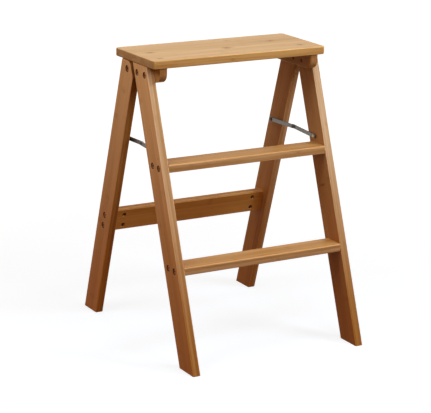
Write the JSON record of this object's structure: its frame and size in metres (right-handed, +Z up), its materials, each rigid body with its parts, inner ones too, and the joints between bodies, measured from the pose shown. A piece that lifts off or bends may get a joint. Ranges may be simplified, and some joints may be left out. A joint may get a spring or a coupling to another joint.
{
  "type": "folding step stool",
  "caption": "Free-standing folding step stool of bamboo board: a flat seat on raked front legs with level treads, hinged rear legs and folding steel braces.",
  "frame": {"origin": "on the floor, in the middle of the box that the four feet span", "axes": "+Z up, +X to the right along the seat board's length seen from the front, +Y from the front legs to the rear legs"},
  "size_m": [0.43, 0.525, 0.64],
  "materials": {
    "bamboo_seat": "bamboo board, satin clear lacquer",
    "bamboo_frame": "darker bamboo board, satin clear lacquer",
    "dark_steel": "black-oxide steel",
    "zinc_steel": "zinc-plated steel strip"
  },
  "bodies": {
    "front_frame": {"seat_board": "bamboo_seat", "cleat_left": "bamboo_frame", "cleat_right": "bamboo_frame", "front_leg_left": "bamboo_frame", "front_leg_right": "bamboo_frame", "tread_lower": "bamboo_frame", "tread_middle": "bamboo_frame", "tread_barrel_nuts": "dark_steel", "seat_screws": "dark_steel", "tread_bolts_left": "dark_steel", "tread_bolts_right": "dark_steel", "cleat_bolts_left": "dark_steel", "cleat_bolts_right": "dark_steel", "cleat_nuts_left": "dark_steel", "cleat_nuts_right": "dark_steel", "pivot_bolt_left": "dark_steel", "pivot_bolt_right": "dark_steel", "pivot_nut_left": "dark_steel", "pivot_nut_right": "dark_steel", "brace_front_screw_left": "zinc_steel", "brace_front_screw_right": "zinc_steel", "brace_front_washer_left": "zinc_steel", "brace_front_washer_right": "zinc_steel"},
    "rear_frame": {"rear_leg_left": "bamboo_frame", "rear_leg_right": "bamboo_frame", "rear_stretcher": "bamboo_frame", "stretcher_barrel_nuts": "dark_steel", "stretcher_bolts_left": "dark_steel", "stretcher_bolts_right": "dark_steel", "brace_rear_screw_left": "zinc_steel", "brace_rear_screw_right": "zinc_steel", "brace_rear_spacer_left": "zinc_steel", "brace_rear_spacer_right": "zinc_steel"},
    "front_link_left": {"brace_front_link_left": "zinc_steel", "knee_rivet_outer_left": "zinc_steel"},
    "rear_link_left": {"brace_rear_link_left": "zinc_steel", "knee_rivet_inner_left": "zinc_steel"},
    "front_link_right": {"brace_front_link_right": "zinc_steel", "knee_rivet_outer_right": "zinc_steel"},
    "rear_link_right": {"brace_rear_link_right": "zinc_steel", "knee_rivet_inner_right": "zinc_steel"}
  },
  "joints": [
    {"name": "fold", "type": "hinge", "parent": "front_frame", "child": "rear_frame", "pos_m": [0, 0.04923, 0.603], "axis": [-1, 0, 0], "range_deg": [0, 36.73]},
    {"name": "front_link_pivot_left", "type": "hinge", "parent": "front_frame", "child": "front_link_left", "pos_m": [-0.197, -0.06794, 0.437], "axis": [1, 0, 0], "range_deg": [0, 67.9]},
    {"name": "rear_link_pivot_left", "type": "hinge", "parent": "rear_frame", "child": "rear_link_left", "pos_m": [-0.197, 0.11099, 0.439], "axis": [-1, 0, 0], "range_deg": [0, 25.89]},
    {"name": "front_link_pivot_right", "type": "hinge", "parent": "front_frame", "child": "front_link_right", "pos_m": [0.197, -0.06794, 0.437], "axis": [1, 0, 0], "range_deg": [0, 67.9]},
    {"name": "rear_link_pivot_right", "type": "hinge", "parent": "rear_frame", "child": "rear_link_right", "pos_m": [0.197, 0.11099, 0.439], "axis": [-1, 0, 0], "range_deg": [0, 25.89]}
  ],
  "couplings": [
    {"joint": "front_link_pivot_left", "follows": "fold", "ratio": 1.8489},
    {"joint": "rear_link_pivot_left", "follows": "fold", "ratio": 0.70493},
    {"joint": "front_link_pivot_right", "follows": "fold", "ratio": 1.8489},
    {"joint": "rear_link_pivot_right", "follows": "fold", "ratio": 0.70493}
  ]
}
